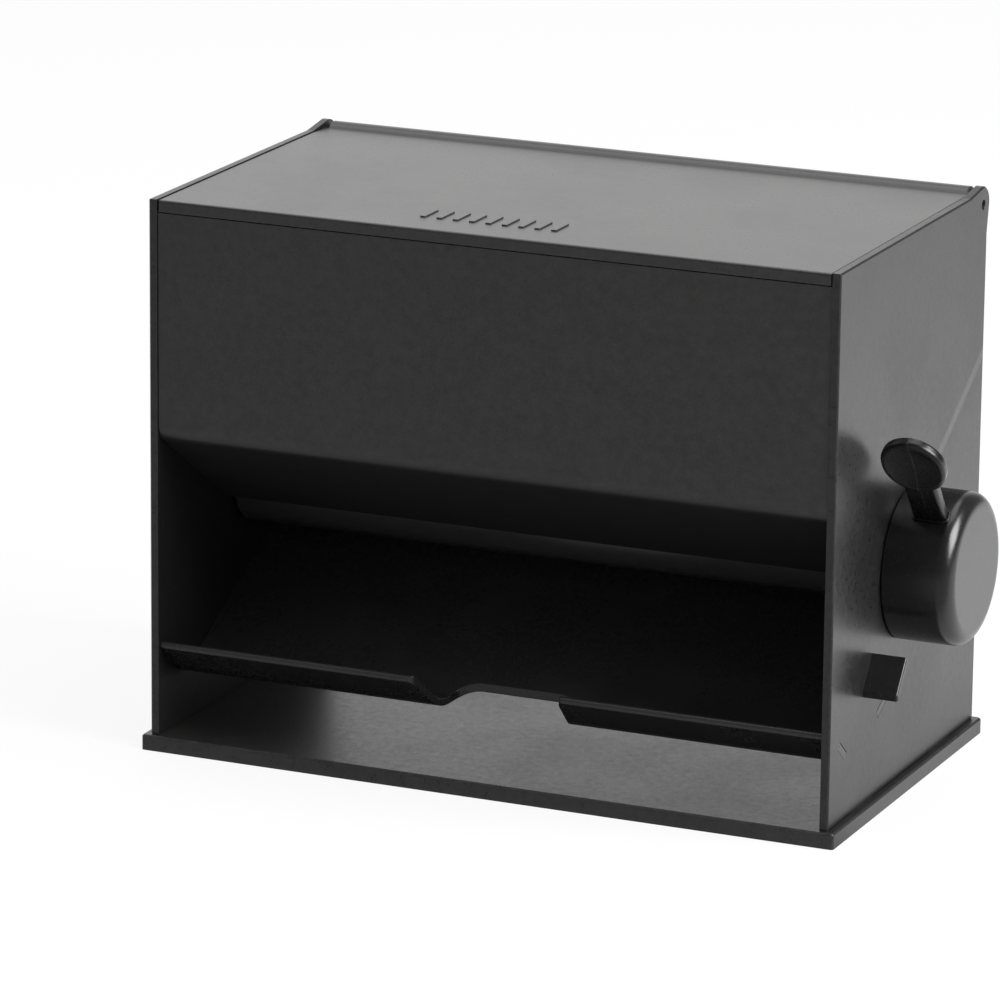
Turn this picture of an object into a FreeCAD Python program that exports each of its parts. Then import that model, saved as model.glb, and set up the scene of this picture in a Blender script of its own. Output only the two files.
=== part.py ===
import FreeCAD, Part

# Countertop straw dispenser with a lever: a black cabinet holds loose straws under a
# hinged lid, and a grooved drum turned by a side lever drops one straw into a front tray.
# Millimetres. +X is to the right, where the lever is, +Y to the back, +Z up.
# Y is laid out from the side panels' front edges and Z from the base's underside, and every
# piece is moved at the end so that the origin is the centre of the base's underside.

import math
import os

Vector = FreeCAD.Vector

# cabinet
body_width = 210.0
body_depth = 118.0
body_top = 163.4
panel_wall = 2.5
panel_edge_chamfer = 0.4
seam_gap = 0.1
back_foot_drop = 7.0

# how far a cutter runs past the faces it opens
overshoot = 1.0

# base plate and its pads
base_thick = 4.6
base_margin_side = 2.3
base_margin_front = 1.8
base_margin_back = 1.9
base_corner_round = 1.0
base_edge_chamfer = 0.5
foot_radius = 6.0
foot_thick = 1.0
foot_inset = 14.0
foot_gap = 0.15
foot_tab_length = 16.0
foot_tab_depth = 3.0
foot_tab_inset = 20.0
tab_clearance = 0.12

# lid and its hinge
lid_recess = 0.2
lid_thick = 2.5
lid_side_gap = 0.5
lid_front_face = 0.3
lid_lip_height = 3.4
lid_lip_depth = 2.4
lid_edge_round = 0.8
lid_seat_gap = 0.3
hinge_from_back = 3.8
hinge_below_top = 3.8
barrel_radius = 5.0
ear_radius = 5.3
ear_neck_drop = 9.0
ear_crest_run = 10.6
hinge_pin_radius = 1.5
hinge_pin_recess = 1.0
hinge_pin_grip = 10.0
hinge_pin_float = 0.5
barrel_gap = 0.4
barrel_end_gap = 0.9
barrel_end_chamfer = 0.8
grip_rib_count = 9
grip_rib_pitch = 5.0
grip_rib_width = 1.6
grip_rib_length = 9.0
grip_rib_height = 0.35
grip_rib_x = -6.0
grip_rib_y = 14.0

# front panel, rolled in at its foot and carried on as the front hopper slope
front_face = 0.4
front_thick = 2.2
front_roll_radius = 4.0
front_slope_angle = 33.0
gate_angle = 94.3
gate_gap = 0.6

# rear hopper slope
slope_thick = 2.0
rear_slope_angle = 32.4
rear_slope_end_angle = 20.0
drum_clearance = 0.8

# feed drum
drum_y = 58.3
drum_z = 67.7
drum_radius = 12.2
drum_end_gap = 0.4
drum_end_chamfer = 0.8
straw_radius = 3.0
groove_clearance = 0.9
groove_reach = 8.7
groove_rest_angle = 42.0
axle_radius = 3.0
axle_running_gap = 0.05
axle_fit_gap = 0.02
bush_radius = 4.5
bush_flange_radius = 7.0
bush_flange_thick = 1.1
drum_pin_radius = 1.0
drum_pin_from_end = 20.0

# straw tray: front lip, round trough, and a chute that rises to the back panel
tray_thick = 2.2
tray_side_gap = 0.1
trough_y = 19.4
trough_z = 31.6
trough_radius = 10.0
lip_angle = 38.7
lip_length = 13.2
chute_angle = 27.0
chute_back_gap = 0.2
lip_tab_length = 6.6
chute_tab_start = 14.2
chute_tab_length = 12.0
slot_headroom = 0.16
notch_half_front = 22.0
notch_half_back = 18.6
notch_back = 27.5
notch_corner_round = 8.0
notch_flare = 3.2
notch_mouth_run = 12.8

# knob, hub and lever
knob_radius = 22.0
knob_reach = 20.9
knob_standoff = 0.5
knob_wall = 2.0
knob_face_wall = 2.2
knob_edge_round = 4.5
knob_boss_wall = 2.0
knob_boss_height = 4.0
hub_radius = 8.0
washer_thick = 0.4
lever_x_offset = 11.5
lever_rest_angle = 38.0
lever_width = 9.8
lever_thick = 3.5
lever_set_back = 0.85
lever_edge_round = 1.1
paddle_reach = 46.0
paddle_rise = 0.2
paddle_lean = -3.4
paddle_half_width = 9.4
paddle_stretch = 0.6
paddle_thick = 3.2
paddle_edge_round = 1.0
paddle_edge_bands = 3
paddle_dish_depth = 1.0
paddle_dish_radius = 8.2
mould_line_half_width = 0.12
mould_line_height = 0.07
tang_width = 7.0
tang_thick = 2.4
tang_floor = 2.4
lever_fit_gap = 0.05
collar_rim = 0.6
collar_height = 0.8
hub_screw_radius = 1.5
hub_screw_socket_depth = 1.6

# lever stop
stop_y = 28.7
stop_z = 43.0
stop_tilt = 53.0
stop_length = 11.6
stop_thick = 2.0
stop_end_slant = 1.1
stop_reach = 10.2
stop_edge_round = 0.6

# return spring, the post that holds one leg, and the lugs inside the knob
spring_half_wire = 0.5
spring_coil_radius = 9.7
spring_turns = 3
spring_pitch = 1.3
spring_start_gap = 0.9
spring_leg = 16.0
spring_seat_gap = 0.05
spring_post_radius = 1.2
spring_post_along = 12.0
spring_post_spare = 0.7
spring_lug_along = 12.5
spring_lug_thick = 2.0
rest_rib_thick = 2.0
rest_rib_length = 2.7
rest_rib_depth = 5.2

# how far a quarter round's two handles reach, as a share of its radius
round_pull = 4 / 3 * (math.sqrt(2) - 1)

# places that follow from the sizes above
half_width = body_width / 2
lid_top = body_top - lid_recess
hinge_y = body_depth - hinge_from_back
hinge_z = body_top - hinge_below_top
inner_half = half_width - panel_wall
back_inner = body_depth - panel_wall
origin_y = (body_depth + base_margin_back - base_margin_front) / 2
groove_radius = straw_radius + groove_clearance
knob_start = half_width + knob_standoff
knob_end = half_width + knob_reach
lever_x = half_width + lever_x_offset
spring_start = knob_start + spring_start_gap
spring_end = spring_start + spring_pitch * spring_turns


def rad(degrees):
    return math.radians(degrees)


def box(x0, x1, y0, y1, z0, z1):
    return Part.makeBox(x1 - x0, y1 - y0, z1 - z0, Vector(x0, y0, z0))


def rod(radius, x0, x1, y, z):
    """A round bar along X."""
    return Part.makeCylinder(radius, x1 - x0, Vector(x0, y, z), Vector(1, 0, 0))


def prism(edges, x0, x1):
    """A closed outline in the YZ plane, carried along X."""
    face = Part.Face(Part.Wire(Part.__sortEdges__(edges)))
    solid = face.extrude(Vector(x1 - x0, 0, 0))
    solid.translate(Vector(x0, 0, 0))
    return solid


def flat(y, z):
    return Vector(0, y, z)


def polygon(points):
    corners = [flat(y, z) for y, z in points]
    following = corners[1:] + corners[:1]
    return [Part.LineSegment(a, b).toShape() for a, b in zip(corners, following)]


def arc(center, radius, start, middle, end):
    """An arc in the YZ plane through three directions, in degrees from +Y."""
    spots = [
        flat(center[0] + radius * math.cos(rad(a)), center[1] + radius * math.sin(rad(a)))
        for a in (start, middle, end)
    ]
    return Part.Arc(*spots).toShape()


def bent_sheet(start, heading, steps, thick, x0, x1, round_start=False, round_end=False):
    """A sheet that follows runs and bends in the YZ plane, thick on its right-hand side.

    steps are ("run", length) or ("bend", radius, angle): a bend to the left has its
    radius on the left face, a bend to the right has it on the right face.
    """
    y, z = start
    left = []
    right = []

    def side(offset):
        across = rad(heading + 90)
        return flat(y + offset * math.cos(across), z + offset * math.sin(across))

    first_left = side(0)
    first_right = side(-thick)
    first_heading = heading
    for step in steps:
        if step[0] == "run":
            before = (side(0), side(-thick))
            y += step[1] * math.cos(rad(heading))
            z += step[1] * math.sin(rad(heading))
            left.append(Part.LineSegment(before[0], side(0)).toShape())
            right.append(Part.LineSegment(before[1], side(-thick)).toShape())
            continue
        radius, turn = step[1], step[2]
        reach = radius if turn > 0 else -(radius + thick)
        hub = side(reach)
        inner = abs(reach)
        outer = abs(reach + thick)
        base = heading - 90 if turn > 0 else heading + 90
        angles = (base, base + turn / 2, base + turn)
        center = (hub.y, hub.z)
        left.append(arc(center, inner, *angles))
        right.append(arc(center, outer, *angles))
        y = center[0] + inner * math.cos(rad(angles[2]))
        z = center[1] + inner * math.sin(rad(angles[2]))
        heading += turn
    last_left = side(0)
    last_right = side(-thick)
    ends = []
    for wanted, a, b, way in (
        (round_start, first_left, first_right, first_heading + 180),
        (round_end, last_left, last_right, heading),
    ):
        if not wanted:
            ends.append(Part.LineSegment(a, b).toShape())
            continue
        middle = (a + b) * 0.5
        tip = middle + flat(math.cos(rad(way)), math.sin(rad(way))) * (thick / 2)
        ends.append(Part.Arc(a, tip, b).toShape())
    return prism(left + right + ends, x0, x1)


def strip(start, heading, length, thick, x0, x1, grow=0.0):
    """A straight piece of sheet, with grow added on every side of its outline."""
    along = rad(heading)
    across = rad(heading + 90)
    y = start[0] - grow * math.cos(along) + grow * math.cos(across)
    z = start[1] - grow * math.sin(along) + grow * math.sin(across)
    steps = [("run", length + 2 * grow)]
    return bent_sheet((y, z), heading, steps, thick + 2 * grow, x0, x1)


def fillet_where(solid, radius, test):
    edges = [edge for edge in solid.Edges if test(edge)]
    return solid.makeFillet(radius, edges)


def chamfer_where(solid, size, test):
    edges = [edge for edge in solid.Edges if test(edge)]
    return solid.makeChamfer(size, edges)


def all_at(edge, axis, value):
    """True when an edge lies in the plane axis = value."""
    low = getattr(edge.BoundBox, axis + "Min")
    high = getattr(edge.BoundBox, axis + "Max")
    return abs(low - value) < 0.01 and abs(high - value) < 0.01


def group(solids):
    return Part.makeCompound(solids)


def about_drum(shape, angle):
    """Turn a shape drawn straight up from the X axis, and carry it to the drum's axis."""
    turned = shape.copy()
    turned.rotate(Vector(0, 0, 0), Vector(1, 0, 0), angle)
    turned.translate(Vector(0, drum_y, drum_z))
    return turned


# ---- tray outline, shared by the tray and the slots in the side panels ----

lip_out = (math.cos(rad(-lip_angle)), math.sin(rad(-lip_angle)))
lip_foot = (
    trough_y - trough_radius * math.sin(rad(lip_angle)),
    trough_z - trough_radius * math.cos(rad(lip_angle)),
)
lip_start = (
    lip_foot[0] - lip_length * lip_out[0],
    lip_foot[1] - lip_length * lip_out[1],
)
lip_tab_at = (
    lip_foot[0] - lip_tab_length * lip_out[0],
    lip_foot[1] - lip_tab_length * lip_out[1],
)
chute_foot = (
    trough_y + trough_radius * math.sin(rad(chute_angle)),
    trough_z - trough_radius * math.cos(rad(chute_angle)),
)
chute_tab_at = (
    chute_foot[0] + chute_tab_start * math.cos(rad(chute_angle)),
    chute_foot[1] + chute_tab_start * math.sin(rad(chute_angle)),
)
tray_tabs = (
    (lip_tab_at, -lip_angle, lip_tab_length),
    (chute_tab_at, chute_angle, chute_tab_length),
)


def tray_tab(tab, x0, x1):
    start, heading, length = tab
    return strip(start, heading, length, tray_thick, x0, x1)


def tray_slot(tab, x0, x1):
    """Slot for a tab, with more room above the tab than below it."""
    start, heading, length = tab
    y = start[0] + slot_headroom * math.cos(rad(heading + 90))
    z = start[1] + slot_headroom * math.sin(rad(heading + 90))
    return strip((y, z), heading, length, tray_thick + slot_headroom, x0, x1, tab_clearance)


def notch_outline():
    """Plan of the finger notch: flared at the lip, narrowing to a rounded back."""
    front = lip_start[0] + notch_flare - tray_thick
    slope = (notch_half_front - notch_half_back) / (notch_back - front)
    side = math.degrees(math.atan(slope))
    y_turn = notch_back - notch_corner_round * (1 - math.sin(rad(side)))
    x_turn = notch_half_front - slope * (y_turn - front)
    x_back = x_turn - notch_corner_round * math.cos(rad(side))
    edges = []
    for way in (-1, 1):

        def spot(x, y):
            return Vector(way * x, y, 0)

        def corner_spot(angle):
            x = x_back + notch_corner_round * math.cos(rad(angle))
            y = notch_back - notch_corner_round * (1 - math.sin(rad(angle)))
            return spot(x, y)

        wide = notch_half_front + notch_flare
        lift = notch_flare * math.sqrt(0.5)
        flare_mid = spot(wide - lift, front - lift)
        flare_end = spot(wide, front - notch_flare)
        mouth = spot(wide, front - notch_mouth_run)
        centre = spot(0, front - notch_mouth_run)
        edges.append(Part.LineSegment(centre, mouth).toShape())
        edges.append(Part.LineSegment(mouth, flare_end).toShape())
        edges.append(Part.Arc(flare_end, flare_mid, spot(notch_half_front, front)).toShape())
        start = corner_spot(side)
        edges.append(Part.LineSegment(spot(notch_half_front, front), start).toShape())
        edges.append(Part.Arc(start, corner_spot((side + 90) / 2), corner_spot(90)).toShape())
        edges.append(Part.LineSegment(corner_spot(90), spot(0, notch_back)).toShape())
    return edges


def straw_tray():
    half = inner_half - tray_side_gap
    chute_run = (back_inner - chute_back_gap - chute_foot[0]) / math.cos(rad(chute_angle))
    steps = [
        ("run", lip_length),
        ("bend", trough_radius, lip_angle + chute_angle),
        ("run", chute_run),
    ]
    tray = bent_sheet(lip_start, -lip_angle, steps, tray_thick, -half, half, round_start=True)
    back_limit = back_inner - chute_back_gap
    tray = tray.common(box(-half, half, -base_thick, back_limit, 0, body_top))
    notch = Part.Face(Part.Wire(Part.__sortEdges__(notch_outline())))
    tray = tray.cut(notch.extrude(Vector(0, 0, drum_z)))
    for tab in tray_tabs:
        for way in (-1, 1):
            x0, x1 = sorted((way * (half - overshoot), way * half_width))
            tray = tray.fuse(tray_tab(tab, x0, x1))
    return tray.removeSplitter()


# ---- cabinet ----

def base_plate():
    x = half_width + base_margin_side
    plate = box(-x, x, -base_margin_front, body_depth + base_margin_back, 0, base_thick)
    plate = fillet_where(
        plate, base_corner_round, lambda e: e.BoundBox.ZLength > base_thick - 0.01
    )
    plate = chamfer_where(plate, base_edge_chamfer, lambda e: all_at(e, "Z", base_thick))
    for spot in foot_spots():
        plate = plate.cut(Part.makeCylinder(foot_radius, foot_thick, spot))
    for way in (-1, 1):
        for y in foot_tab_ys():
            plate = plate.cut(panel_foot_tab(way, y, tab_clearance))
    return plate


def foot_spots():
    x = half_width - foot_inset
    return [Vector(a, b, 0) for a in (-x, x) for b in (foot_inset, body_depth - foot_inset)]


def rubber_feet():
    return group(
        [Part.makeCylinder(foot_radius - foot_gap, foot_thick, spot) for spot in foot_spots()]
    )


def foot_tab_ys():
    return (foot_tab_inset, body_depth - foot_tab_inset - foot_tab_length)


def panel_foot_tab(way, y, grow=0.0):
    x0, x1 = sorted((way * inner_half, way * half_width))
    return box(
        x0 - grow,
        x1 + grow,
        y - grow,
        y + foot_tab_length + grow,
        base_thick - foot_tab_depth - grow,
        base_thick,
    )


def touch_angle(point, side):
    """Direction from the hinge axis to where a line from a point touches the ear."""
    dy = point[0] - hinge_y
    dz = point[1] - hinge_z
    spread = math.degrees(math.acos(ear_radius / math.hypot(dy, dz)))
    return math.degrees(math.atan2(dz, dy)) + side * spread


def side_panel(way):
    x0, x1 = sorted((way * inner_half, way * half_width))
    crest = (hinge_y - ear_crest_run, body_top)
    neck = (body_depth, hinge_z - ear_neck_drop)
    top = touch_angle(crest, -1)
    back = touch_angle(neck, 1)

    def ear_spot(angle):
        across = ear_radius * math.cos(rad(angle))
        return flat(hinge_y + across, hinge_z + ear_radius * math.sin(rad(angle)))

    corners = [
        ear_spot(back),
        flat(*neck),
        flat(body_depth, base_thick),
        flat(0, base_thick),
        flat(0, body_top),
        flat(*crest),
        ear_spot(top),
    ]
    edges = [Part.LineSegment(a, b).toShape() for a, b in zip(corners, corners[1:])]
    edges.append(arc((hinge_y, hinge_z), ear_radius, top, (top + back) / 2, back))
    panel = prism(edges, x0, x1)
    outer = way * half_width
    panel = chamfer_where(panel, panel_edge_chamfer, lambda e: all_at(e, "X", outer))
    cut = (x0 - overshoot, x1 + overshoot)
    panel = panel.cut(rod(hinge_pin_radius + axle_fit_gap, *cut, hinge_y, hinge_z))
    panel = panel.cut(rod(bush_radius, *cut, drum_y, drum_z))
    for tab in tray_tabs:
        panel = panel.cut(tray_slot(tab, *cut))
    for y in foot_tab_ys():
        panel = panel.fuse(panel_foot_tab(way, y))
    return panel.removeSplitter()


def left_side_panel():
    return side_panel(-1)


def right_side_panel():
    panel = side_panel(1)
    panel = panel.cut(stop_plate(inner_half - overshoot, half_width + overshoot, axle_fit_gap))
    post = spring_post_spot()
    grip = spring_post_radius + axle_fit_gap
    hole = rod(grip, inner_half - overshoot, half_width + overshoot, post[0], post[1])
    return panel.cut(hole)


def back_panel():
    """Back sheet, from the lid's barrel down to just below the chute, open underneath."""
    half = inner_half - seam_gap
    chute_top = chute_foot[1] + (back_inner - chute_foot[0]) * math.tan(rad(chute_angle))
    foot = chute_top - back_foot_drop
    panel = box(-half, half, back_inner, body_depth, foot, hinge_z)
    return panel.cut(rod(barrel_radius + barrel_gap, -half, half, hinge_y, hinge_z))


def front_panel():
    """Outer sheet, rolled in at its foot and carried on down to the gate by the drum."""
    half = inner_half - seam_gap
    down = rad(front_slope_angle)
    tip_reach = drum_radius + gate_gap + front_thick / 2
    end_y = drum_y - tip_reach * math.sin(rad(gate_angle)) + front_thick / 2 * math.sin(down)
    end_z = drum_z + tip_reach * math.cos(rad(gate_angle)) + front_thick / 2 * math.cos(down)
    roll_y = front_face + front_thick + front_roll_radius
    slope_run = (end_y - roll_y + front_roll_radius * math.sin(down)) / math.cos(down)
    roll_z = end_z + front_roll_radius * math.cos(down) + slope_run * math.sin(down)
    top = lid_top - lid_lip_height - lid_seat_gap
    steps = [
        ("run", top - roll_z),
        ("bend", front_roll_radius, 90 - front_slope_angle),
        ("run", slope_run),
    ]
    start = (front_face + front_thick, top)
    return bent_sheet(start, -90, steps, front_thick, -half, half, round_end=True)


def rear_slope():
    """Sheet that leads the straws from the back panel onto the top of the drum."""
    half = inner_half - seam_gap
    up = rad(rear_slope_angle)
    end_reach = drum_radius + drum_clearance + slope_thick / 2
    end_y = drum_y + end_reach * math.sin(rad(rear_slope_end_angle))
    end_z = drum_z + end_reach * math.cos(rad(rear_slope_end_angle))
    start = (
        end_y - slope_thick / 2 * math.sin(up),
        end_z + slope_thick / 2 * math.cos(up),
    )
    run = (back_inner - end_y) / math.cos(up) + slope_thick
    steps = [("run", run)]
    sheet = bent_sheet(
        start, rear_slope_angle, steps, slope_thick, -half, half, round_start=True
    )
    return sheet.common(box(-half, half, 0, back_inner, 0, body_top))


def bush(way):
    inner = inner_half - bush_flange_thick
    body = rod(bush_radius - axle_fit_gap, inner_half, half_width, drum_y, drum_z)
    body = body.fuse(rod(bush_flange_radius, inner, inner_half, drum_y, drum_z))
    ends = (inner - overshoot, half_width + overshoot)
    body = body.cut(rod(axle_radius + axle_running_gap, *ends, drum_y, drum_z))
    if way < 0:
        body = body.mirror(Vector(0, 0, 0), Vector(1, 0, 0))
    return body.removeSplitter()


def left_bush():
    return bush(-1)


def right_bush():
    return bush(1)


# ---- lid ----

def lid():
    half = inner_half - lid_side_gap
    under = lid_top - lid_thick
    plate = box(-half, half, lid_front_face, hinge_y, under, lid_top)
    lip_low = lid_top - lid_lip_height
    lip = box(-half, half, lid_front_face, lid_front_face + lid_lip_depth, lip_low, lid_top)
    reach = inner_half - barrel_end_gap
    barrel = rod(barrel_radius, -reach, reach, hinge_y, hinge_z)
    barrel = chamfer_where(barrel, barrel_end_chamfer, lambda e: e.BoundBox.XLength < seam_gap)
    plate = plate.cut(rod(barrel_radius, -half, half, hinge_y, hinge_z))
    body = plate.fuse([lip, barrel]).removeSplitter()

    def front_top(edge):
        return all_at(edge, "Z", lid_top) and all_at(edge, "Y", lid_front_face)

    body = fillet_where(body, lid_edge_round, front_top)
    first = grip_rib_x - grip_rib_pitch * (grip_rib_count - 1) / 2
    for index in range(grip_rib_count):
        x = first + index * grip_rib_pitch
        rib = Part.makeBox(
            grip_rib_width,
            grip_rib_length,
            2 * grip_rib_height,
            Vector(x - grip_rib_width / 2, grip_rib_y, lid_top - grip_rib_height),
        )
        body = body.fuse(rib)
    for way in (-1, 1):
        x0, x1 = sorted((way * (reach - hinge_pin_grip), way * half_width))
        bore = rod(hinge_pin_radius + axle_running_gap, x0, x1, hinge_y, hinge_z)
        body = body.cut(bore)
    return body.removeSplitter()


def lid_hinge_pins():
    pins = []
    for way in (-1, 1):
        inner = inner_half - barrel_end_gap - hinge_pin_grip + hinge_pin_float
        x0, x1 = sorted((way * inner, way * (half_width - hinge_pin_recess)))
        pins.append(rod(hinge_pin_radius, x0, x1, hinge_y, hinge_z))
    return group(pins)


# ---- drum, hub, knob and lever ----

def feed_drum():
    half = inner_half - bush_flange_thick - drum_end_gap
    drum = rod(drum_radius, -half, half, 0, 0)
    drum = chamfer_where(drum, drum_end_chamfer, lambda e: e.BoundBox.XLength < seam_gap)
    groove = rod(groove_radius, -half, half, 0, groove_reach)
    throat = box(-half, half, -groove_radius, groove_radius, groove_reach, drum_radius + overshoot)
    drum = drum.cut(groove.fuse(throat))
    drum = drum.cut(rod(axle_radius + axle_fit_gap, -half, half, 0, 0))
    drum = drum.cut(drum_pin_shape(axle_fit_gap))
    return about_drum(drum, groove_rest_angle)


def drum_pin_shape(grow=0.0):
    """Cross pin that keys the drum to its axle, drawn square to the groove."""
    x = inner_half - drum_pin_from_end
    reach = math.sqrt(drum_radius**2 - drum_pin_radius**2)
    return Part.makeCylinder(
        drum_pin_radius + grow, 2 * reach, Vector(x, -reach, 0), Vector(0, 1, 0)
    )


def drum_pin():
    return about_drum(drum_pin_shape(), groove_rest_angle)


def drum_axle():
    axle = rod(axle_radius, -half_width, knob_end - knob_face_wall, 0, 0)
    axle = axle.cut(drum_pin_shape(axle_fit_gap))
    return about_drum(axle, groove_rest_angle)


def thrust_washer():
    washer = rod(hub_radius, half_width, half_width + washer_thick, drum_y, drum_z)
    bore = rod(axle_radius + axle_running_gap, half_width - overshoot, knob_end, drum_y, drum_z)
    return washer.cut(bore)


def lever_tang(grow=0.0):
    half_x = tang_width / 2 + grow
    half_y = tang_thick / 2 + grow
    low = axle_radius + tang_floor - grow
    high = knob_radius - knob_wall / 2
    tang = box(lever_x - half_x, lever_x + half_x, -half_y, half_y, low, high)
    tang.translate(Vector(0, lever_set_back, 0))
    return tang


def knob_hub():
    start = half_width + washer_thick + axle_fit_gap
    hub = rod(hub_radius, start, knob_end - knob_face_wall, 0, 0)
    hub = hub.cut(rod(axle_radius + axle_fit_gap, start, knob_end, 0, 0))
    hub = hub.cut(lever_tang(lever_fit_gap))
    hub = hub.cut(hub_screw_shape(axle_fit_gap))
    return about_drum(hub, lever_rest_angle)


def hub_screw_shape(grow=0.0):
    length = hub_radius - axle_radius
    return Part.makeCylinder(
        hub_screw_radius + grow, length, Vector(lever_x, 0, -hub_radius), Vector(0, 0, 1)
    )


def hub_screw():
    start = Vector(lever_x, 0, -hub_radius)
    socket = Part.makeCylinder(hub_screw_radius / 2, hub_screw_socket_depth, start, Vector(0, 0, 1))
    return about_drum(hub_screw_shape().cut(socket), lever_rest_angle)


def knob_cap():
    """Cup that covers the hub: round outer edge, hollow inside, open to the panel."""
    inner = knob_radius - knob_wall
    inner_slant = knob_edge_round - knob_wall
    flat_x = knob_end - knob_edge_round
    floor_x = knob_end - knob_face_wall
    boss_in = hub_radius + axle_fit_gap
    boss_out = boss_in + knob_boss_wall
    boss_x = floor_x - knob_boss_height
    pull = knob_edge_round * round_pull

    def at(x, r):
        return Vector(x, 0, r)

    outer_round = Part.BezierCurve()
    outer_round.setPoles([
        at(flat_x, knob_radius),
        at(flat_x + pull, knob_radius),
        at(knob_end, knob_radius - knob_edge_round + pull),
        at(knob_end, knob_radius - knob_edge_round),
    ])
    inner_flat_x = floor_x - inner_slant
    edges = [
        Part.LineSegment(at(knob_start, inner), at(knob_start, knob_radius)).toShape(),
        Part.LineSegment(at(knob_start, knob_radius), at(flat_x, knob_radius)).toShape(),
        outer_round.toShape(),
        Part.LineSegment(at(knob_end, knob_radius - knob_edge_round), at(knob_end, 0)).toShape(),
        Part.LineSegment(at(knob_end, 0), at(floor_x, 0)).toShape(),
        Part.LineSegment(at(floor_x, 0), at(floor_x, boss_in)).toShape(),
        Part.LineSegment(at(floor_x, boss_in), at(boss_x, boss_in)).toShape(),
        Part.LineSegment(at(boss_x, boss_in), at(boss_x, boss_out)).toShape(),
        Part.LineSegment(at(boss_x, boss_out), at(floor_x, boss_out)).toShape(),
        Part.LineSegment(at(floor_x, boss_out), at(floor_x, inner - inner_slant)).toShape(),
        Part.LineSegment(at(floor_x, inner - inner_slant), at(inner_flat_x, inner)).toShape(),
        Part.LineSegment(at(inner_flat_x, inner), at(knob_start, inner)).toShape(),
    ]
    face = Part.Face(Part.Wire(edges))
    cup = face.revolve(Vector(0, 0, 0), Vector(1, 0, 0), 360)
    cup = cup.cut(lever_blank(lever_fit_gap))
    cup = cup.cut(lever_tang(lever_fit_gap))
    return about_drum(cup.fuse([spring_lug(), rest_rib()]).removeSplitter(), lever_rest_angle)


def spring_lug():
    """Shelf inside the knob that pushes the spring's moving leg."""
    inner = knob_radius - knob_wall
    top = -spring_coil_radius - spring_half_wire - spring_seat_gap
    reach = math.sqrt(inner**2 - (top - spring_lug_thick) ** 2) + knob_wall
    shelf = box(
        spring_end - 2 * spring_half_wire,
        knob_end - knob_face_wall,
        spring_lug_along,
        reach,
        top - spring_lug_thick,
        top,
    )
    return shelf


def rest_rib():
    """Rib inside the knob that comes to rest against the fixed post."""
    inner = knob_radius - knob_wall
    side = spring_post_radius + rest_rib_thick / 2 + spring_seat_gap
    post = spring_post_local()
    reach = math.hypot(*post)
    angle = math.degrees(math.atan2(-post[0], post[1]) + math.asin(side / reach))
    start = knob_start + spring_start_gap / 2
    rib = box(
        start,
        start + rest_rib_length,
        -rest_rib_thick / 2,
        rest_rib_thick / 2,
        inner - rest_rib_depth,
        inner + knob_wall / 2,
    )
    rib.rotate(Vector(0, 0, 0), Vector(1, 0, 0), angle)
    return rib


def lever_blank(grow=0.0):
    """The lever's stalk, from inside the knob's wall to the middle of its paddle."""
    half_x = lever_width / 2 + grow
    half_y = lever_thick / 2 + grow
    low = knob_radius - knob_wall / 2 - grow
    stalk = box(lever_x - half_x, lever_x + half_x, -half_y, half_y, low, paddle_reach)
    long_edges = [edge for edge in stalk.Edges if edge.BoundBox.ZLength > seam_gap]
    stalk = stalk.makeFillet(lever_edge_round + grow, long_edges)
    stalk.translate(Vector(0, lever_set_back, 0))
    return stalk


def seat_paddle(shape):
    """Carry a shape drawn about the paddle's middle to the end of the stalk."""
    shape.rotate(Vector(0, 0, 0), Vector(1, 0, 0), paddle_lean)
    shape.translate(Vector(lever_x, paddle_rise, paddle_reach))
    return shape


def paddle_half_outline():
    """Half of the paddle's section: distance from its axis, and place across its thickness."""
    middle = paddle_half_width - paddle_edge_round
    face_y = paddle_thick / 2 - paddle_edge_round
    front = []
    for band in range(paddle_edge_bands + 1):
        turn = rad(90 * band / paddle_edge_bands)
        out = middle + paddle_edge_round * math.sin(turn)
        front.append((out, -face_y - paddle_edge_round * math.cos(turn)))
    return front + [(x, -y) for x, y in reversed(front)]


def paddle_blank():
    """Flat paddle with banded edges: two half rounds joined by a short straight piece."""
    rim = paddle_half_outline()
    axis_ends = [(0, paddle_thick / 2), (0, -paddle_thick / 2)]
    half_face = Part.Face(Part.makePolygon(closed_loop(rim + axis_ends)))
    both_sides = rim + [(-x, y) for x, y in reversed(rim)]
    bar = Part.Face(Part.makePolygon(closed_loop(both_sides)))
    paddle = bar.extrude(Vector(0, 0, 2 * paddle_stretch))
    paddle.translate(Vector(0, 0, -paddle_stretch))
    for way in (-1, 1):
        end = half_face.revolve(Vector(0, 0, 0), Vector(0, -way, 0), 180)
        end.translate(Vector(0, 0, way * paddle_stretch))
        paddle = paddle.fuse(end)
    return seat_paddle(paddle.removeSplitter())


def closed_loop(points):
    corners = [Vector(x, y, 0) for x, y in points]
    return corners + corners[:1]


def paddle_dish():
    """Ball that hollows the paddle's front face."""
    depth = paddle_dish_depth
    ball_radius = (paddle_dish_radius**2 + depth**2) / (2 * depth)
    middle = depth - paddle_thick / 2 - ball_radius
    return seat_paddle(Part.makeSphere(ball_radius, Vector(0, middle, 0)))


def lever():
    """Stalk, tang and dished paddle in one piece, with a fine mould line down its middle."""
    body = lever_blank().fuse(paddle_blank()).cut(paddle_dish())
    half = mould_line_half_width
    top = paddle_reach + 2 * paddle_half_width
    low = knob_radius + collar_height + half
    strip_box = box(lever_x - half, lever_x + half, -top, top, low, top)
    mould_line = body.common(strip_box)
    mould_line.translate(Vector(0, -mould_line_height, mould_line_height))
    body = body.fuse([mould_line, lever_tang()]).removeSplitter()
    return about_drum(body, lever_rest_angle)


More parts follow.
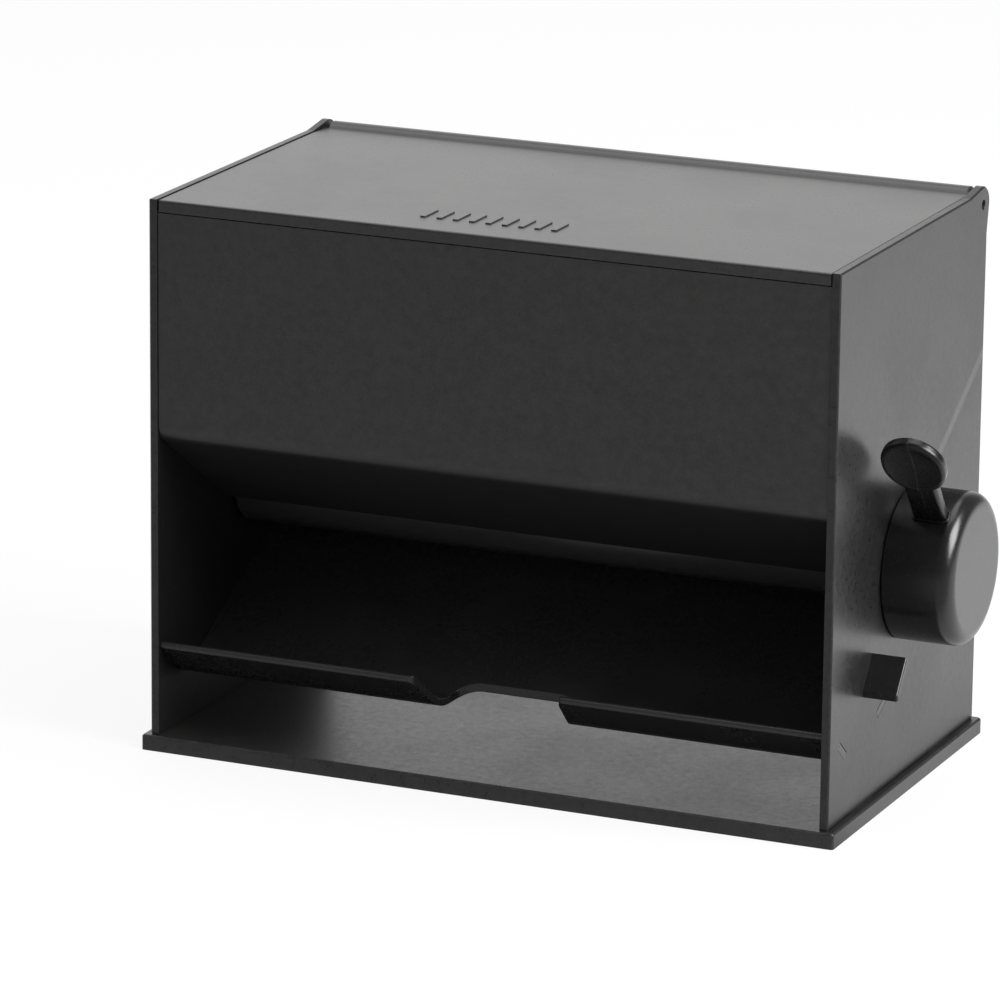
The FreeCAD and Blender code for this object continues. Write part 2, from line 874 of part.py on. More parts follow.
def lever_collar():
    """Thin rim round the foot of the stalk, seated on the knob's round wall."""
    half_x = lever_width / 2 + collar_rim
    half_y = lever_thick / 2 + collar_rim
    low = knob_radius - knob_wall
    high = knob_radius + collar_height
    plate = box(lever_x - half_x, lever_x + half_x, -half_y, half_y, low, high)
    long_edges = [edge for edge in plate.Edges if edge.BoundBox.ZLength > seam_gap]
    plate = plate.makeFillet(lever_edge_round + collar_rim, long_edges)
    plate.translate(Vector(0, lever_set_back, 0))
    plate = plate.cut(rod(knob_radius, half_width, knob_end + overshoot, 0, 0))
    plate = plate.cut(lever_blank(lever_fit_gap))
    return about_drum(plate, lever_rest_angle)


def stop_plate(x0, x1, grow=0.0):
    """Leaning plate, with its lower end slanted so that the underside runs longer."""
    half = stop_length / 2 + grow
    under = -stop_thick - grow
    turn = rad(stop_tilt)
    corners = []
    for along, up in ((-half, grow), (half, grow), (half, under), (-half - stop_end_slant, under)):
        y = stop_y + along * math.cos(turn) - up * math.sin(turn)
        z = stop_z + along * math.sin(turn) + up * math.cos(turn)
        corners.append((y, z))
    return prism(polygon(corners), x0, x1)


def lever_stop():
    """Plate that stands out of the right panel and ends the lever's travel."""
    outer = half_width + stop_reach
    plate = stop_plate(inner_half, outer)
    return fillet_where(plate, stop_edge_round, lambda e: all_at(e, "X", outer))


# ---- return spring ----

def spring_post_local():
    """Post beside the spring's fixed leg, before the turn to the rest angle."""
    drop = spring_coil_radius + spring_half_wire + spring_seat_gap + spring_post_radius
    return (-spring_post_along, -drop)


def spring_post_spot():
    y, z = spring_post_local()
    turn = rad(lever_rest_angle)
    return (
        drum_y + y * math.cos(turn) - z * math.sin(turn),
        drum_z + y * math.sin(turn) + z * math.cos(turn),
    )


def spring_post():
    post = spring_post_spot()
    end = spring_start + spring_half_wire + spring_post_spare
    return rod(spring_post_radius, inner_half, end, post[0], post[1])


def half_coil():
    """Half a turn of square wire, tilted so that it rises half a pitch from +X to -X."""
    rise = spring_pitch / 2
    tilt = math.atan(rise / (2 * spring_coil_radius))
    ring_radius = spring_coil_radius / math.cos(tilt)
    bottom = Vector(0, 0, -spring_half_wire)
    size = (2 * spring_half_wire, bottom, Vector(0, 0, 1), 180)
    half = Part.makeCylinder(ring_radius + spring_half_wire, *size)
    half = half.cut(Part.makeCylinder(ring_radius - spring_half_wire, *size))
    half.rotate(Vector(0, 0, 0), Vector(0, 1, 0), math.degrees(tilt))
    half.translate(Vector(0, 0, rise / 2))
    return half


def return_spring():
    """Torsion spring: tilted half turns joined into a coil, with a straight leg at each end."""
    halves = []
    for index in range(2 * spring_turns):
        half = half_coil()
        half.rotate(Vector(0, 0, 0), Vector(0, 0, 1), 180 * (index % 2))
        half.translate(Vector(0, 0, index * spring_pitch / 2))
        halves.append(half)
    wire = spring_half_wire
    low = spring_coil_radius - wire
    high = spring_coil_radius + wire
    top = spring_pitch * spring_turns
    fixed_leg = box(low, high, -spring_leg, 0, -wire, wire)
    moving_leg = box(low, high, 0, spring_leg, top - wire, top + wire)
    spring = fixed_leg.fuse(halves + [moving_leg])
    spring.rotate(Vector(0, 0, 0), Vector(0, 1, 0), 90)
    spring.translate(Vector(spring_start, 0, 0))
    return about_drum(spring.removeSplitter(), lever_rest_angle)


NODES = (
    base_plate,
    rubber_feet,
    left_side_panel,
    right_side_panel,
    back_panel,
    front_panel,
    rear_slope,
    straw_tray,
    lever_stop,
    left_bush,
    right_bush,
    spring_post,
    return_spring,
    thrust_washer,
    feed_drum,
    drum_axle,
    drum_pin,
    knob_hub,
    hub_screw,
    knob_cap,
    lever,
    lever_collar,
    lid,
    lid_hinge_pins,
)

os.makedirs("parts", exist_ok=True)
for make in NODES:
    shape = make()
    shape.translate(Vector(0, -origin_y, 0))
    shape.exportStep("parts/" + make.__name__ + ".step")
    print(make.__name__, len(shape.Solids), round(shape.Volume, 1), shape.isValid())
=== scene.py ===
import math

import bmesh
import bpy
from mathutils import Matrix, Vector


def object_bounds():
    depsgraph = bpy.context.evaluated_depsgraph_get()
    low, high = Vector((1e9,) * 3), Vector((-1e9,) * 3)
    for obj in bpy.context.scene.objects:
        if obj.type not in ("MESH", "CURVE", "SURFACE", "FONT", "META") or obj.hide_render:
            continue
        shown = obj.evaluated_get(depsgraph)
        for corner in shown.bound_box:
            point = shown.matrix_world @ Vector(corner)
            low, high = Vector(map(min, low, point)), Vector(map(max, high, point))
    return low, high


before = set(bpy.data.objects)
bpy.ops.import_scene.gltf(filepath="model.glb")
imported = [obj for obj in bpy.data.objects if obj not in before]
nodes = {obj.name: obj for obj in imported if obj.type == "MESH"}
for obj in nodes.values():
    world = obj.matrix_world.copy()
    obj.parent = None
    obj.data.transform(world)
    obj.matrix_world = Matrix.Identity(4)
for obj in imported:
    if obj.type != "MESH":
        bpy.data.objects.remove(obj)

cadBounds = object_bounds()
print("frame loaded,", len(nodes), "pieces")


# helpers for node trees

def addNode(tree, kind, settings=None, **values):
    node = tree.nodes.new("ShaderNode" + kind)
    for key, value in (settings or {}).items():
        setattr(node, key, value)
    for key, value in values.items():
        node.inputs[key].default_value = value
    return node


def plug(tree, value, socket):
    if isinstance(value, bpy.types.NodeSocket):
        tree.links.new(value, socket)
    else:
        socket.default_value = value


def calc(tree, operation, first, second=0.0, third=0.0, clamp=False):
    node = addNode(tree, "Math", {"operation": operation, "use_clamp": clamp})
    for place, value in enumerate((first, second, third)):
        plug(tree, value, node.inputs[place])
    return node.outputs[0]


def remap(tree, value, low, high, outLow=0.0, outHigh=1.0, kind="SMOOTHSTEP"):
    node = addNode(tree, "MapRange", {"interpolation_type": kind})
    numbers = (("From Min", low), ("From Max", high), ("To Min", outLow), ("To Max", outHigh))
    for key, number in numbers:
        plug(tree, number, node.inputs[key])
    tree.links.new(value, node.inputs["Value"])
    return node.outputs["Result"]


def blendColours(tree, mask, first, second):
    node = addNode(tree, "Mix", {"data_type": "RGBA"})
    sockets = [s for s in node.inputs if s.type == "RGBA"]
    plug(tree, mask, node.inputs["Factor"])
    plug(tree, first, sockets[0])
    plug(tree, second, sockets[1])
    return [s for s in node.outputs if s.type == "RGBA"][0]


def noise(tree, place, scale, detail=3.0, roughness=0.55):
    node = addNode(tree, "TexNoise", Detail=detail, Roughness=roughness)
    plug(tree, scale, node.inputs["Scale"])
    tree.links.new(place, node.inputs["Vector"])
    return node.outputs["Fac"]


def vectorCalc(tree, operation, first, second):
    node = addNode(tree, "VectorMath", {"operation": operation})
    plug(tree, first, node.inputs[0])
    plug(tree, second, node.inputs[1])
    return node.outputs["Value" if operation == "DOT_PRODUCT" else "Vector"]


def makeGroup(name, inputs, outputs):
    tree = bpy.data.node_groups.new(name, "ShaderNodeTree")
    for label, kind, value in inputs:
        socket = tree.interface.new_socket(
            name=label, in_out="INPUT", socket_type="NodeSocket" + kind
        )
        socket.default_value = value
    for label, kind in outputs:
        tree.interface.new_socket(name=label, in_out="OUTPUT", socket_type="NodeSocket" + kind)
    given = tree.nodes.new("NodeGroupInput").outputs
    return tree, given, tree.nodes.new("NodeGroupOutput").inputs


def placeGroup(tree, group, **values):
    node = tree.nodes.new("ShaderNodeGroup")
    node.node_tree = group
    for key, value in values.items():
        plug(tree, value, node.inputs[key])
    return node.outputs


# effects that several finishes share

edgeWearHighlightLook = {"turnStart": 0.995, "turnEnd": 0.86, "patchStart": 0.36, "patchEnd": 0.62}


# edge mask for a paler colour: partly wear, partly a painted highlight along edges
def buildEdgeWearHighlight():
    tree, given, result = makeGroup(
        "edgeWearHighlight",
        [("Radius", "Float", 0.0004), ("Breakup", "Float", 300.0), ("Amount", "Float", 1.0)],
        [("Mask", "Float"), ("Normal", "Vector")],
    )
    rounded = addNode(tree, "Bevel", {"samples": 8})
    plug(tree, given["Radius"], rounded.inputs["Radius"])
    surface = addNode(tree, "NewGeometry")
    turn = vectorCalc(tree, "DOT_PRODUCT", rounded.outputs["Normal"], surface.outputs["Normal"])
    edge = remap(tree, turn, edgeWearHighlightLook["turnStart"], edgeWearHighlightLook["turnEnd"])
    place = addNode(tree, "TexCoord").outputs["Object"]
    cloud = noise(tree, place, given["Breakup"], 4.0, 0.65)
    patches = remap(tree, cloud, edgeWearHighlightLook["patchStart"], edgeWearHighlightLook["patchEnd"])
    wearAndSheen = calc(tree, "MULTIPLY", edge, patches)
    tree.links.new(calc(tree, "MULTIPLY", wearAndSheen, given["Amount"], clamp=True), result["Mask"])
    tree.links.new(rounded.outputs["Normal"], result["Normal"])
    return tree


mouldGrainLook = {"broadScale": 0.28, "fineShare": 0.65, "toneStart": 0.36, "toneEnd": 0.64}


def buildMouldGrain():
    tree, given, result = makeGroup(
        "mouldGrain",
        [("Scale", "Float", 1500.0), ("Stretch", "Vector", (1.0, 1.0, 1.0))],
        [("Height", "Float"), ("Tone", "Float")],
    )
    place = addNode(tree, "TexCoord").outputs["Object"]
    along = vectorCalc(tree, "MULTIPLY", place, given["Stretch"])
    fine = noise(tree, along, given["Scale"], 4.0, 0.7)
    broadScale = calc(tree, "MULTIPLY", given["Scale"], mouldGrainLook["broadScale"])
    broad = noise(tree, along, broadScale, 2.0, 0.5)
    fineShare = mouldGrainLook["fineShare"]
    rest = calc(tree, "MULTIPLY", broad, 1.0 - fineShare)
    mixed = calc(tree, "MULTIPLY_ADD", fine, fineShare, rest)
    tone = remap(
        tree, mixed, mouldGrainLook["toneStart"], mouldGrainLook["toneEnd"], -1.0, 1.0, "LINEAR"
    )
    tree.links.new(mixed, result["Height"])
    tree.links.new(tone, result["Tone"])
    return tree


handlingLook = {
    "smudgeStart": 0.42,
    "smudgeEnd": 0.68,
    "lineSkew": (1.0, 0.9, 0.035),
    "lineDrift": (0.0, 0.03, 0.012),
    "lineStart": 0.735,
    "lineEnd": 0.78,
    "patchScale": 1.7,
    "patchStart": 0.5,
    "patchEnd": 0.62,
}


def buildHandling():
    tree, given, result = makeGroup(
        "handling",
        [("Scale", "Float", 22.0), ("Streak", "Float", 900.0)],
        [("Smudge", "Float"), ("Hairline", "Float")],
    )
    place = addNode(tree, "TexCoord").outputs["Object"]
    cloud = noise(tree, place, given["Scale"], 5.0, 0.6)
    smudge = remap(tree, cloud, handlingLook["smudgeStart"], handlingLook["smudgeEnd"])
    tree.links.new(smudge, result["Smudge"])
    skewed = vectorCalc(tree, "MULTIPLY", place, handlingLook["lineSkew"])
    drift = vectorCalc(tree, "MULTIPLY", place, handlingLook["lineDrift"])
    wander = vectorCalc(tree, "ADD", skewed, drift)
    streaks = noise(tree, wander, given["Streak"], 1.0, 0.4)
    line = remap(tree, streaks, handlingLook["lineStart"], handlingLook["lineEnd"])
    patchScale = calc(tree, "MULTIPLY", given["Scale"], handlingLook["patchScale"])
    spots = noise(tree, place, patchScale, 2.0)
    patch = remap(tree, spots, handlingLook["patchStart"], handlingLook["patchEnd"])
    tree.links.new(calc(tree, "MULTIPLY", line, patch), result["Hairline"])
    return tree


dustLook = {
    "levelStart": 0.55,
    "levelEnd": 0.95,
    "speckScale": 1900.0,
    "speckStart": 0.74,
    "speckEnd": 0.8,
    "filmScale": 38.0,
    "filmStart": 0.4,
    "filmEnd": 0.75,
    "filmMost": 0.35,
}


def buildDust():
    tree, given, result = makeGroup("dust", [("Amount", "Float", 1.0)], [("Mask", "Float")])
    upward = addNode(tree, "SeparateXYZ")
    tree.links.new(addNode(tree, "NewGeometry").outputs["Normal"], upward.inputs[0])
    facing = remap(tree, upward.outputs["Z"], dustLook["levelStart"], dustLook["levelEnd"])
    place = addNode(tree, "TexCoord").outputs["Object"]
    dots = noise(tree, place, dustLook["speckScale"], 1.0, 0.3)
    specks = remap(tree, dots, dustLook["speckStart"], dustLook["speckEnd"])
    cloud = noise(tree, place, dustLook["filmScale"], 4.0, 0.6)
    film = remap(
        tree, cloud, dustLook["filmStart"], dustLook["filmEnd"], 0.0, dustLook["filmMost"]
    )
    mask = calc(tree, "MULTIPLY", calc(tree, "ADD", specks, film), facing)
    tree.links.new(calc(tree, "MULTIPLY", mask, given["Amount"], clamp=True), result["Mask"])
    return tree


shadeFaceLook = {"inwardStart": 0.5, "belowStart": 0.2, "belowEnd": 0.8}


# faces that look towards the middle of the cabinet, or down, which the finishes paint darker as
# shade
def buildShadeFace():
    tree, given, result = makeGroup("shadeFace", [("Sharp", "Float", 0.9)], [("Mask", "Float")])
    place = addNode(tree, "SeparateXYZ")
    tree.links.new(addNode(tree, "TexCoord").outputs["Object"], place.inputs[0])
    facing = addNode(tree, "SeparateXYZ")
    tree.links.new(addNode(tree, "NewGeometry").outputs["Normal"], facing.inputs[0])
    side = calc(tree, "SIGN", place.outputs["X"])
    inward = calc(tree, "MULTIPLY", facing.outputs["X"], calc(tree, "MULTIPLY", side, -1.0))
    downward = calc(tree, "MULTIPLY", facing.outputs["Z"], -1.0)
    within = remap(tree, inward, shadeFaceLook["inwardStart"], given["Sharp"])
    below = remap(tree, downward, shadeFaceLook["belowStart"], shadeFaceLook["belowEnd"])
    tree.links.new(calc(tree, "MAXIMUM", within, below), result["Mask"])
    return tree


bondSheenLook = {
    "core": 0.3,
    "frontStart": 0.006,
    "frontEnd": 0.012,
    "outerStart": 0.1042,
    "outerEnd": 0.1046,
}


# a pale line painted on the outer face of a side panel where the slope is bonded behind it: the
# bond's trace, shown as a painted sheen line
def buildBondSheen():
    tree, given, result = makeGroup(
        "bondSheen",
        [
            ("Across", "Float", 0.0),
            ("Rise", "Float", 0.0),
            ("Angle", "Float", 0.5),
            ("HalfWidth", "Float", 0.001),
            ("Strength", "Float", 0.5),
        ],
        [("Mask", "Float")],
    )
    place = addNode(tree, "SeparateXYZ")
    tree.links.new(addNode(tree, "TexCoord").outputs["Object"], place.inputs[0])
    along = calc(tree, "SUBTRACT", place.outputs["Y"], given["Across"])
    above = calc(tree, "SUBTRACT", place.outputs["Z"], given["Rise"])
    first = calc(tree, "MULTIPLY", above, calc(tree, "COSINE", given["Angle"]))
    second = calc(tree, "MULTIPLY", along, calc(tree, "SINE", given["Angle"]))
    away = calc(tree, "ABSOLUTE", calc(tree, "SUBTRACT", first, second))
    core = calc(tree, "MULTIPLY", given["HalfWidth"], bondSheenLook["core"])
    band = remap(tree, away, given["HalfWidth"], core)
    beyond = remap(
        tree, place.outputs["Y"], bondSheenLook["frontStart"], bondSheenLook["frontEnd"]
    )
    sideways = calc(tree, "ABSOLUTE", place.outputs["X"])
    outer = remap(tree, sideways, bondSheenLook["outerStart"], bondSheenLook["outerEnd"])
    kept = calc(tree, "MULTIPLY", calc(tree, "MULTIPLY", band, beyond), outer)
    tree.links.new(calc(tree, "MULTIPLY", kept, given["Strength"]), result["Mask"])
    return tree


edgeWearHighlight = buildEdgeWearHighlight()
shadeFace = buildShadeFace()
bondSheen = buildBondSheen()
mouldGrain = buildMouldGrain()
handling = buildHandling()
dust = buildDust()
print("shared effects ready")


# finishes

plasticLook = {
    "black": (0.018, 0.0178, 0.0175, 1.0),
    "wearAndSheen": (0.06, 0.06, 0.06, 1.0),
    "dustColour": (0.16, 0.155, 0.145, 1.0),
    "rough": 0.31,
    "roughSpread": 0.03,
    "toneSpread": 0.25,
    "ior": 1.5,
    "coat": 0.3,
    "coatRough": 0.3,
    "grainScale": 1500.0,
    "grainDepth": 0.000005,
    "edgeRound": 0.0004,
    "edgeWearAndHighlight": 0.3,
    "smudge": 0.05,
    "hairline": 0.05,
    "dusty": 0.12,
    "dustRough": 0.3,
    "paintedShadeBlack": None,
    "bondSheen": None,
}


def makePlastic(name, **changes):
    look = {**plasticLook, **changes}
    material = bpy.data.materials.new(name)
    material.use_nodes = True
    tree = material.node_tree
    tree.nodes.clear()
    shader = addNode(tree, "BsdfPrincipled", IOR=look["ior"])
    shader.inputs["Coat Weight"].default_value = look["coat"]
    shader.inputs["Coat Roughness"].default_value = look["coatRough"]
    edges = placeGroup(tree, edgeWearHighlight, Radius=look["edgeRound"], Amount=look["edgeWearAndHighlight"])
    grain = placeGroup(tree, mouldGrain, Scale=look["grainScale"])
    marks = placeGroup(tree, handling)
    settled = placeGroup(tree, dust, Amount=look["dusty"])["Mask"]
    spread = [1.0 - look["toneSpread"], 1.0 + look["toneSpread"]]
    deep, pale = [tuple(part * level for part in look["black"][:3]) + (1.0,) for level in spread]
    shade = blendColours(tree, remap(tree, grain["Tone"], -1.0, 1.0, kind="LINEAR"), deep, pale)
    # painted sheen line where the slope is bonded behind the side panel
    if look["bondSheen"]:
        sheenSeam = placeGroup(tree, bondSheen, **look["bondSheen"])["Mask"]
        shade = blendColours(tree, sheenSeam, shade, look["wearAndSheen"])
    # edges turn paler: wear and a painted edge highlight
    shade = blendColours(tree, edges["Mask"], shade, look["wearAndSheen"])
    shade = blendColours(tree, settled, shade, look["dustColour"])
    rough = calc(tree, "MULTIPLY_ADD", grain["Tone"], look["roughSpread"], look["rough"])
    rough = calc(tree, "MULTIPLY_ADD", marks["Smudge"], look["smudge"], rough)
    rough = calc(tree, "MULTIPLY_ADD", marks["Hairline"], look["hairline"], rough)
    rough = calc(tree, "MULTIPLY_ADD", settled, look["dustRough"], rough, clamp=True)
    # painted shade: inward and downward faces get a darker colour and less coat
    if look["paintedShadeBlack"]:
        paintedShade = placeGroup(tree, shadeFace)["Mask"]
        shade = blendColours(tree, paintedShade, shade, look["paintedShadeBlack"])
        fade = calc(tree, "MULTIPLY_ADD", paintedShade, -look["coat"], look["coat"], clamp=True)
        tree.links.new(fade, shader.inputs["Coat Weight"])
    bump = addNode(tree, "Bump", Strength=1.0, Distance=look["grainDepth"])
    joined = ((shade, "Base Color"), (rough, "Roughness"), (bump.outputs["Normal"], "Normal"))
    for socket, key in joined:
        tree.links.new(socket, shader.inputs[key])
    tree.links.new(grain["Height"], bump.inputs["Height"])
    tree.links.new(edges["Normal"], bump.inputs["Normal"])
    ending = addNode(tree, "OutputMaterial")
    tree.links.new(shader.outputs["BSDF"], ending.inputs["Surface"])
    return material


steelLook = {
    "edgeRound": 0.0002,
    "edgeWearAndHighlight": 0.6,
    "markScale": 60.0,
    "dull": 0.55,
    "bright": 1.35,
    "lineRough": 0.06,
    "markRough": 0.12,
}


def makeSteel(name, **changes):
    look = {**steelLook, **changes}
    material = bpy.data.materials.new(name)
    material.use_nodes = True
    tree = material.node_tree
    tree.nodes.clear()
    shader = addNode(tree, "BsdfPrincipled", Metallic=1.0)
    lines = placeGroup(tree, mouldGrain, Scale=look["lineScale"], Stretch=look["lineStretch"])
    edges = placeGroup(tree, edgeWearHighlight, Radius=look["edgeRound"], Amount=look["edgeWearAndHighlight"])
    marks = placeGroup(tree, handling, Scale=look["markScale"])
    plain = look["colour"][:3]
    dull = tuple(look["dull"] * part for part in plain) + (1.0,)
    bright = tuple(min(1.0, look["bright"] * part) for part in plain) + (1.0,)
    shade = blendColours(tree, marks["Smudge"], look["colour"], dull)
    # edges turn brighter: wear and a painted edge highlight
    shade = blendColours(tree, edges["Mask"], shade, bright)
    tone = calc(tree, "MULTIPLY_ADD", lines["Tone"], look["lineRough"], look["rough"])
    tone = calc(tree, "MULTIPLY_ADD", marks["Smudge"], look["markRough"], tone, clamp=True)
    bump = addNode(tree, "Bump", Strength=1.0, Distance=look["lineDepth"])
    tree.links.new(lines["Height"], bump.inputs["Height"])
    tree.links.new(edges["Normal"], bump.inputs["Normal"])
    tree.links.new(shade, shader.inputs["Base Color"])
    tree.links.new(tone, shader.inputs["Roughness"])
    tree.links.new(bump.outputs["Normal"], shader.inputs["Normal"])
    ending = addNode(tree, "OutputMaterial")
    tree.links.new(shader.outputs["BSDF"], ending.inputs["Surface"])
    return material


def dress(material, *names):
    for name in names:
        for place in nodes[name].material_slots:
            place.material = material


panelLook = {
    "toneSpread": 0.35,
    "roughSpread": 0.03,
    "grainDepth": 0.000006,
    "paintedShadeBlack": (0.012, 0.012, 0.012, 1.0),
}
dress(makePlastic("panelBlack", **panelLook), "front_panel", "back_panel")

slopeBond = {
    "Across": 0.05545,
    "Rise": 0.1134,
    "Angle": math.radians(32.4),
    "HalfWidth": 0.0022,
    "Strength": 0.75,
}
sideLook = {
    "black": (0.012, 0.0119, 0.0117, 1.0),
    "rough": 0.33,
    "coatRough": 0.33,
    "toneSpread": 0.5,
    "roughSpread": 0.07,
    "grainDepth": 0.000011,
    "paintedShadeBlack": (0.009, 0.009, 0.009, 1.0),
    "bondSheen": slopeBond,
}
dress(makePlastic("sideBlack", **sideLook), "left_side_panel", "right_side_panel")
dress(makePlastic("slopeBlack"), "rear_slope")

baseLook = {
    "black": (0.014, 0.0139, 0.0137, 1.0),
    "rough": 0.35,
    "coat": 0.4,
    "coatRough": 0.33,
    "dusty": 0.18,
    "toneSpread": 0.6,
    "roughSpread": 0.1,
    "grainDepth": 0.000015,
}
dress(makePlastic("baseBlack", **baseLook), "base_plate")

footLook = {"black": (0.012, 0.012, 0.012, 1.0), "rough": 0.72, "grainDepth": 0.00002, "ior": 1.45}
dress(makePlastic("footRubber", **footLook), "rubber_feet")

lidLook = {"rough": 0.29, "coat": 0.45, "dusty": 0.16, "smudge": 0.03}
dress(makePlastic("lidBlack", **lidLook), "lid")

trayLook = {
    "black": (0.016, 0.0159, 0.0157, 1.0),
    "rough": 0.27,
    "roughSpread": 0.01,
    "toneSpread": 0.05,
    "grainDepth": 0.000002,
    "smudge": 0.02,
    "hairline": 0.02,
    "paintedShadeBlack": (0.01, 0.01, 0.01, 1.0),
}
dress(makePlastic("trayBlack", **trayLook), "straw_tray")

drumLook = {"black": (0.014, 0.014, 0.0145, 1.0), "rough": 0.33}
dress(makePlastic("drumBlack", **drumLook), "feed_drum", "knob_hub")

# the knob, its lever and the stop are glossier mouldings than the cabinet
gloss = {"black": (0.003, 0.003, 0.0034, 1.0), "coat": 0.0, "dusty": 0.04, "smudge": 0.03}
knobLook = {
    **gloss,
    "rough": 0.25,
    "coat": 0.5,
    "grainScale": 2200.0,
    "grainDepth": 0.000003,
    "paintedShadeBlack": (0.002, 0.002, 0.002, 1.0),
}
leverLook = {
    **gloss,
    "black": (0.002, 0.002, 0.0023, 1.0),
    "rough": 0.27,
    "coat": 0.3,
    "grainDepth": 0.000002,
    "edgeWearAndHighlight": 0.08,
}
stopLook = {
    **gloss,
    "black": (0.007, 0.007, 0.0075, 1.0),
    "rough": 0.24,
    "coat": 0.3,
    "grainDepth": 0.000002,
    "edgeWearAndHighlight": 0.5,
}
dress(makePlastic("knobBlack", **knobLook), "knob_cap")
dress(makePlastic("leverBlack", **leverLook), "lever", "lever_collar")
dress(makePlastic("stopBlack", **stopLook), "lever_stop")

bearingLook = {"black": (0.05, 0.05, 0.05, 1.0), "rough": 0.38, "dusty": 0.0}
dress(makePlastic("bearingGrey", **bearingLook), "left_bush", "right_bush", "thrust_washer")

turnedLook = {
    "colour": (0.46, 0.46, 0.47, 1.0),
    "rough": 0.3,
    "lineScale": 4000.0,
    "lineStretch": (1.0, 0.02, 0.02),
    "lineDepth": 0.000003,
}
turnedPieces = ("drum_axle", "drum_pin", "hub_screw", "lid_hinge_pins", "spring_post")
dress(makeSteel("turnedSteel", **turnedLook), *turnedPieces)

springLook = {
    "colour": (0.33, 0.33, 0.35, 1.0),
    "rough": 0.34,
    "lineScale": 2500.0,
    "lineStretch": (1.0, 1.0, 1.0),
    "lineDepth": 0.000004,
}
dress(makeSteel("springSteel", **springLook), "return_spring")
print("finishes ready")


# floor, surroundings and lamps

# shadeStart to farShade only dim what glossy faces see of the floor
floorLook = {
    "half": 6.0,
    "colour": (0.88, 0.88, 0.88, 1.0),
    "mottleColour": (0.8, 0.8, 0.8, 1.0),
    "mottleScale": 9.0,
    "rough": 0.85,
    "specular": 0.2,
    "glow": 0.86,
    "reflectedGlow": 0.8,
    "shadeStart": -0.02,
    "shadeEnd": -0.09,
    "frontShade": 0.18,
    "contactReach": 0.085,
    "contactShade": 0.76,
    "farStart": 0.25,
    "farEnd": 0.65,
    "farShade": 0.78,
}


def floorShade(tree, place):
    apart = addNode(tree, "SeparateXYZ")
    tree.links.new(place, apart.inputs[0])
    front = remap(
        tree, apart.outputs["Y"], floorLook["shadeEnd"], floorLook["shadeStart"],
        floorLook["frontShade"], 1.0,
    )
    beside = []
    for axis, edge in zip("XY", cadBounds[0]):
        outward = calc(tree, "ABSOLUTE", apart.outputs[axis])
        beside.append(calc(tree, "SUBTRACT", outward, -edge))
    away = calc(tree, "MAXIMUM", beside[0], beside[1])
    contact = remap(tree, away, 0.0, floorLook["contactReach"], floorLook["contactShade"], 1.0)
    far = remap(
        tree, apart.outputs["Y"], floorLook["farStart"], floorLook["farEnd"],
        1.0, floorLook["farShade"],
    )
    return calc(tree, "MULTIPLY", calc(tree, "MULTIPLY", front, contact), far)


def makeFloorMaterial():
    material = bpy.data.materials.new("studioFloor")
    material.use_nodes = True
    tree = material.node_tree
    tree.nodes.clear()
    place = addNode(tree, "TexCoord").outputs["Object"]
    cloud = noise(tree, place, floorLook["mottleScale"], 4.0)
    mottle = remap(tree, cloud, 0.3, 0.7, 0.97, 1.0, "LINEAR")
    tint = blendColours(tree, mottle, floorLook["mottleColour"], floorLook["colour"])
    matte = addNode(tree, "BsdfPrincipled", Roughness=floorLook["rough"])
    tree.links.new(tint, matte.inputs["Base Color"])
    matte.inputs["Specular IOR Level"].default_value = floorLook["specular"]
    rays = addNode(tree, "LightPath").outputs
    direct = calc(tree, "MAXIMUM", rays["Is Camera Ray"], rays["Is Transmission Ray"])
    glow = addNode(tree, "Emission")
    strength = calc(tree, "MAXIMUM", floorShade(tree, place), direct)
    tree.links.new(strength, glow.inputs["Strength"])
    mirrored = calc(tree, "MULTIPLY", rays["Is Glossy Ray"], floorLook["reflectedGlow"])
    seen = calc(tree, "MAXIMUM", calc(tree, "MULTIPLY", direct, floorLook["glow"]), mirrored)
    both = addNode(tree, "MixShader")
    tree.links.new(seen, both.inputs[0])
    tree.links.new(matte.outputs[0], both.inputs[1])
    tree.links.new(glow.outputs[0], both.inputs[2])
    ending = addNode(tree, "OutputMaterial")
    tree.links.new(both.outputs[0], ending.inputs["Surface"])
    return material


def makeFloor():
    mesh = bpy.data.meshes.new("floor")
    sheet = bmesh.new()
    bmesh.ops.create_grid(sheet, x_segments=1, y_segments=1, size=floorLook["half"])
    sheet.to_mesh(mesh)
    sheet.free()
    floor = bpy.data.objects.new("floor", mesh)
    bpy.context.scene.collection.objects.link(floor)
    mesh.materials.append(makeFloorMaterial())


# the room is white to look at, and glossy faces see it pale only towards the back left
roomLook = {
    "fill": 0.6,
    "pale": (-0.8, 0.6, 0.0),
    "paleStart": 0.4,
    "paleEnd": 0.92,
    "dim": 0.18,
}


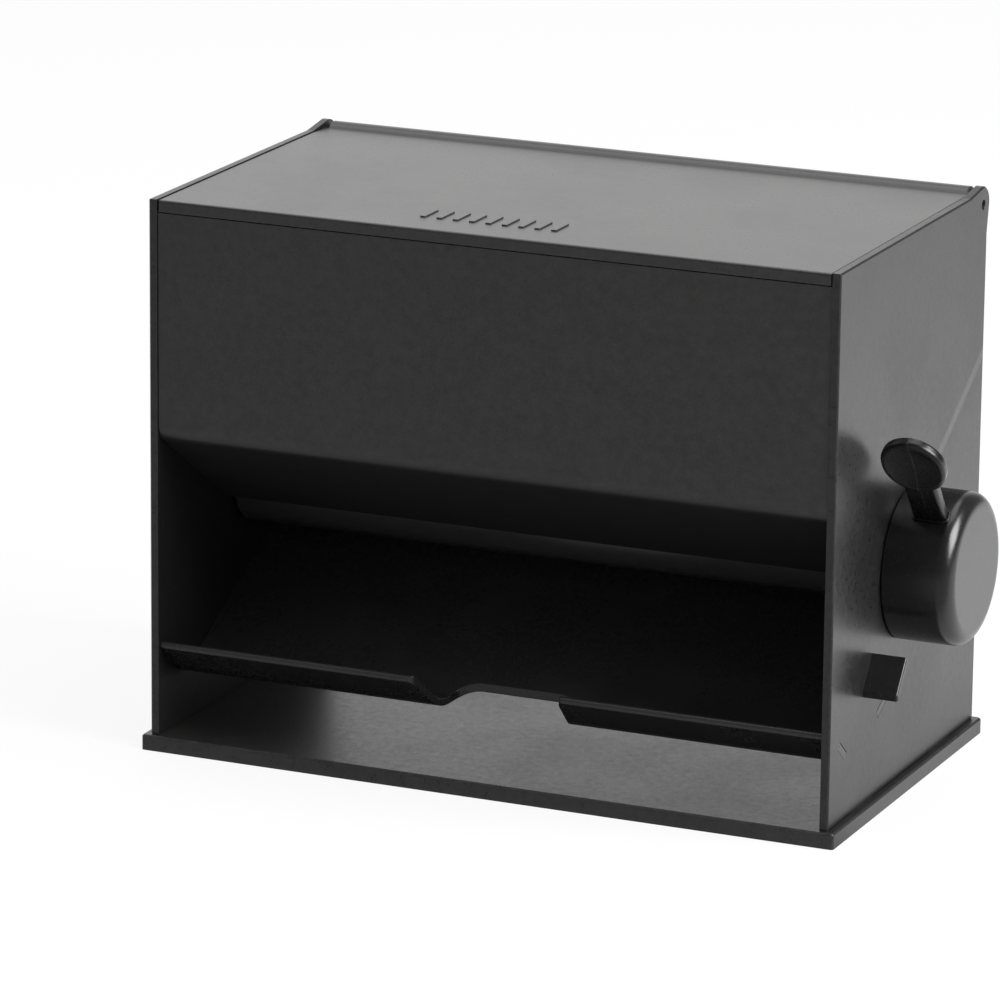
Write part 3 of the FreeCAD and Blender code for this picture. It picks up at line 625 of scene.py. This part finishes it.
def makeSurroundings():
    world = bpy.data.worlds.new("studio")
    world.use_nodes = True
    tree = world.node_tree
    tree.nodes.clear()
    rays = addNode(tree, "LightPath").outputs
    direct = calc(tree, "MAXIMUM", rays["Is Camera Ray"], rays["Is Transmission Ray"])
    seen = calc(tree, "MAXIMUM", direct, rays["Is Glossy Ray"])
    heading = addNode(tree, "TexCoord").outputs["Generated"]
    toBackdrop = vectorCalc(tree, "DOT_PRODUCT", heading, roomLook["pale"])
    backdrop = remap(
        tree, toBackdrop, roomLook["paleStart"], roomLook["paleEnd"], roomLook["dim"], 1.0
    )
    soft = addNode(tree, "Background", Color=(1.0, 1.0, 1.0, 1.0), Strength=roomLook["fill"])
    white = addNode(tree, "Background", Color=(1.0, 1.0, 1.0, 1.0))
    tree.links.new(calc(tree, "MAXIMUM", direct, backdrop), white.inputs["Strength"])
    both = addNode(tree, "MixShader")
    tree.links.new(seen, both.inputs[0])
    tree.links.new(soft.outputs[0], both.inputs[1])
    tree.links.new(white.outputs[0], both.inputs[2])
    ending = addNode(tree, "OutputWorld")
    tree.links.new(both.outputs[0], ending.inputs["Surface"])
    bpy.context.scene.world = world


lamps = {
    "overhead": {"place": (-0.2, 0.3, 1.7), "size": 1.5, "brightness": 1.6},
    "rightBox": {"place": (1.15, -0.1, 0.85), "size": 0.85, "brightness": 10.0},
}


lampAim = (0.0, 0.0, 0.08)


def makeLamp(name, look):
    light = bpy.data.lights.new(name, "AREA")
    light.shape = "SQUARE"
    light.size = look["size"]
    light.energy = math.pi * look["size"] ** 2 * look["brightness"]
    lamp = bpy.data.objects.new(name, light)
    lamp.location = look["place"]
    aim = Vector(lampAim) - lamp.location
    lamp.rotation_euler = aim.to_track_quat("-Z", "Y").to_euler()
    bpy.context.scene.collection.objects.link(lamp)


makeFloor()
makeSurroundings()
for name, look in lamps.items():
    makeLamp(name, look)
print("studio ready")


# camera

cameraLook = {
    "place": (0.70582, -1.65815, 0.56698),
    "turn": 23.6746,
    "above": 15.3405,
    "roll": 0.599,
    "lens": 232.81,
    "sensor": 36.0,
    "nearest": 0.05,
    "farthest": 40.0,
}


def makeCamera():
    lens = bpy.data.cameras.new("camera")
    lens.lens = cameraLook["lens"]
    lens.sensor_width = cameraLook["sensor"]
    lens.clip_start = cameraLook["nearest"]
    lens.clip_end = cameraLook["farthest"]
    lens.dof.use_dof = False
    camera = bpy.data.objects.new("camera", lens)
    turn = Matrix.Rotation(math.radians(cameraLook["turn"]), 4, "Z")
    tip = Matrix.Rotation(math.radians(90.0 - cameraLook["above"]), 4, "X")
    roll = Matrix.Rotation(math.radians(cameraLook["roll"]), 4, "Z")
    camera.matrix_world = Matrix.Translation(cameraLook["place"]) @ turn @ tip @ roll
    bpy.context.scene.collection.objects.link(camera)
    bpy.context.scene.camera = camera


makeCamera()
bpy.context.scene.view_settings.view_transform = "Standard"
print("camera ready")
